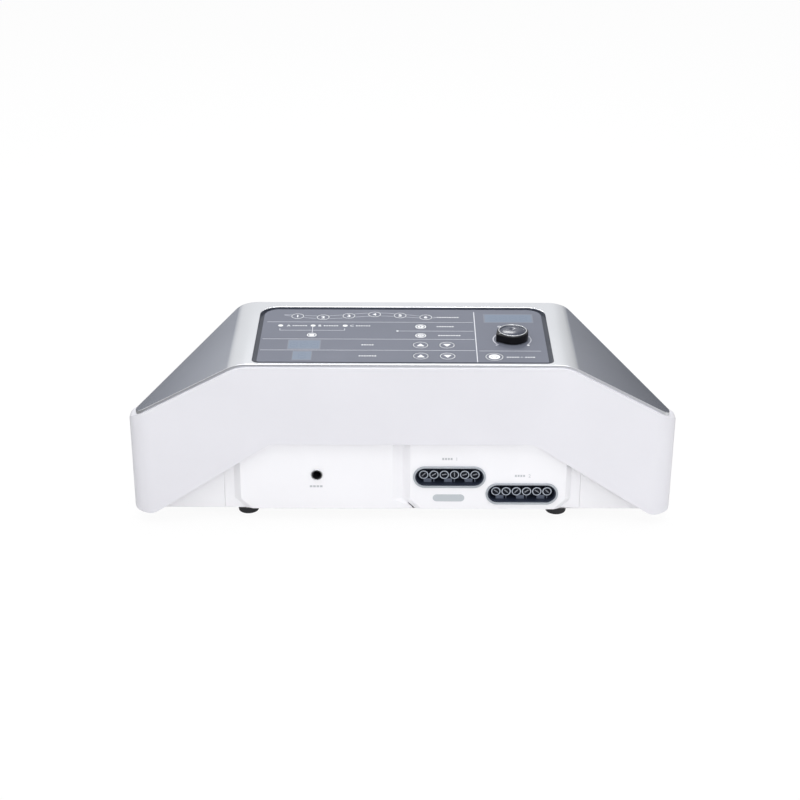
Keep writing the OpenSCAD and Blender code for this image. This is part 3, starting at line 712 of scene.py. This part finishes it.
front = Marks(PAD_Y, upright=True)
front.dashes(36.0, 57.1, 8.4, 1.9, 1.6, 0.6)
front.glyph("1", 43.4, 57.1, 2.9)
front.dashes(94.4, 42.0, 8.4, 1.9, 1.6, 0.6)
front.glyph("2", 102.0, 42.0, 2.9)
front.dashes(-68.9, 31.9, 11.0, 1.7, 2.1, 0.6)
front.done("panel_marks", "grey_print", HOUSING)

# painted highlights on the ports' rims: thin bright metal-like rings laid on the dark port ends
for k in (1, 2):
    centre = own(middle(f"hose_socket_{k}") * MM)
    glints = Marks(PORT_Y, upright=True)
    for j in range(PORTS):
        x = centre.x + (j - (PORTS - 1) / 2) * PORT_PITCH
        glints.arc(x, centre.z - PORT_DROP, PORT_GLINT_R, PORT_GLINT_WIDTH)
    glints.done(f"painted_port_glints_{k}", "painted_port_glint", HOUSING)

# ---- camera ----

CAMERA_BACK = 1.2194
CAMERA_UP = 0.7063
CAMERA_TILT = math.radians(64)
CAMERA_ROLL = math.radians(0.19)
camera_data = bpy.data.cameras.new("camera")
camera_data.sensor_width = 36
camera_data.lens = 78.075
camera = bpy.data.objects.new("camera", camera_data)
camera.location = (-0.0021, -CAMERA_BACK + FASCIA_Y * MM, CAMERA_UP)
camera.rotation_euler = (
    Matrix.Rotation(CAMERA_TILT, 3, "X") @ Matrix.Rotation(CAMERA_ROLL, 3, "Z")
).to_euler()
bpy.context.scene.collection.objects.link(camera)
bpy.context.scene.camera = camera

# ---- light ----


def area_light(name, place, aim, width, depth, watts):
    data = bpy.data.lights.new(name, "AREA")
    data.shape = "RECTANGLE"
    data.size = width
    data.size_y = depth
    data.energy = watts
    lamp = bpy.data.objects.new(name, data)
    lamp.location = place
    lamp.rotation_euler = (Vector(aim) - Vector(place)).to_track_quat("-Z", "Y").to_euler()
    bpy.context.scene.collection.objects.link(lamp)


area_light("top_softbox", place=(0, -0.3, 1.6), aim=(0, 0, 0.1), width=1.6, depth=1.2, watts=16)
area_light("front_softbox", place=(0.4, -1.6, 0.9), aim=(0, 0, 0.05), width=1.2, depth=1.2, watts=5.5)
area_light("rear_softbox", place=(-0.05, 0.95, 1.05), aim=(0.02, 0, 0.14), width=0.5, depth=0.34, watts=5)

world = bpy.data.worlds.new("studio")
bpy.context.scene.world = world
world.use_nodes = True
tree = world.node_tree
fill = tree.nodes["Background"]
fill.inputs["Color"].default_value = (0.985, 0.99, 1, 1)
ray = tree.nodes.new("ShaderNodeLightPath")
split = tree.nodes.new("ShaderNodeSeparateXYZ")
tree.links.new(tree.nodes.new("ShaderNodeTexCoord").outputs["Generated"], split.inputs["Vector"])

# the fill is weaker from the two sides
FILL_AHEAD = 0.775
FILL_SIDE = 0.37
sideways = tree.nodes.new("ShaderNodeMath")
sideways.operation = "ABSOLUTE"
tree.links.new(split.outputs["X"], sideways.inputs[0])
fill_level = range_of(tree, sideways.outputs["Value"], 0.35, 1, FILL_AHEAD, FILL_SIDE)
tree.links.new(fill_level, fill.inputs["Strength"])

# what glossy surfaces mirror, made for the silver cover in this view and darker than what the camera sees:
# blue-grey low down, bright from ten degrees up, darker to the right.
# Each step is a direction's Z and the level there.
steps = tree.nodes.new("ShaderNodeValToRGB")
LOW_TINT = (0.944, 1, 1.17)
HIGH_TINT = (0.99, 1, 1.015)
GLOSS_STEPS = (
    (0.0, 0.07), (0.118, 0.08), (0.128, 0.14), (0.136, 0.31), (0.141, 0.39), (0.155, 0.45),
    (0.195, 0.76), (0.3, 0.85), (0.39, 0.85), (0.42, 0.91), (1.0, 0.91),
)
while len(steps.color_ramp.elements) < len(GLOSS_STEPS):
    steps.color_ramp.elements.new(0.5)
for element, (height, level) in zip(steps.color_ramp.elements, GLOSS_STEPS):
    element.position = height
    tint = LOW_TINT if level < 0.5 else HIGH_TINT
    element.color = (*(level * share for share in tint), 1)
tree.links.new(split.outputs["Z"], steps.inputs["Fac"])
mirrored = tree.nodes.new("ShaderNodeBackground")
tree.links.new(steps.outputs["Color"], mirrored.inputs["Color"])
tree.links.new(range_of(tree, split.outputs["X"], 0.17, 0.44, 1, 0.7), mirrored.inputs["Strength"])
seen = tree.nodes.new("ShaderNodeBackground")
seen.inputs["Color"].default_value = (1, 1, 1, 1)
lit = mixed(tree, fill.outputs["Background"], mirrored.outputs["Background"], ray.outputs["Is Glossy Ray"])
shown = mixed(tree, lit, seen.outputs["Background"], ray.outputs["Is Camera Ray"])
tree.links.new(shown, tree.nodes["World Output"].inputs["Surface"])

# ---- floor ----

FLOOR_REACH = 6.0
GLOW_SHARE = 0.93
BEHIND_LEVEL = 0.26
floor_mesh = bpy.data.meshes.new("floor")
floor_mesh.from_pydata(
    [(x * FLOOR_REACH, y * FLOOR_REACH, 0) for x, y in ((-1, -1), (1, -1), (1, 1), (-1, 1))],
    [], [(0, 1, 2, 3)],
)
floor = bpy.data.objects.new("floor", floor_mesh)
bpy.context.scene.collection.objects.link(floor)
floor_mat, floor_tree, floor_bsdf = new_material("floor")
floor_bsdf.inputs["Roughness"].default_value = 0.9
floor_tone = ramp(floor_tree, noise(floor_tree, 3), (0.85, 0.85, 0.85), (0.87, 0.87, 0.87))
floor_tree.links.new(floor_tone, floor_bsdf.inputs["Base Color"])
glow = floor_tree.nodes.new("ShaderNodeEmission")
floor_ray = floor_tree.nodes.new("ShaderNodeLightPath")
share = floor_tree.nodes.new("ShaderNodeMath")
share.operation = "MULTIPLY"
share.inputs[1].default_value = GLOW_SHARE
floor_tree.links.new(floor_ray.outputs["Is Camera Ray"], share.inputs[0])

# what glossy surfaces mirror of it, made for the silver cover too:
# dim behind the pump, and brighter to the right in front of it
place = floor_tree.nodes.new("ShaderNodeSeparateXYZ")
floor_tree.links.new(object_point(floor_tree), place.inputs["Vector"])
ahead = floor_tree.nodes.new("ShaderNodeEmission")
rightward = range_of(floor_tree, place.outputs["X"], -0.2, 0.2, 0.31, 0.74)
floor_tree.links.new(rightward, ahead.inputs["Strength"])
behind = floor_tree.nodes.new("ShaderNodeEmission")
behind.inputs["Strength"].default_value = BEHIND_LEVEL
backward = range_of(floor_tree, place.outputs["Y"], 0, 0.3, 0, 1)
mirror = mixed(floor_tree, ahead.outputs["Emission"], behind.outputs["Emission"], backward)
plain = mixed(floor_tree, floor_bsdf.outputs["BSDF"], mirror, floor_ray.outputs["Is Glossy Ray"])
whole = mixed(floor_tree, plain, glow.outputs["Emission"], share.outputs["Value"])
floor_tree.links.new(whole, floor_tree.nodes["Material Output"].inputs["Surface"])
floor.data.materials.append(floor_mat)

bpy.context.scene.view_settings.view_transform = "Standard"
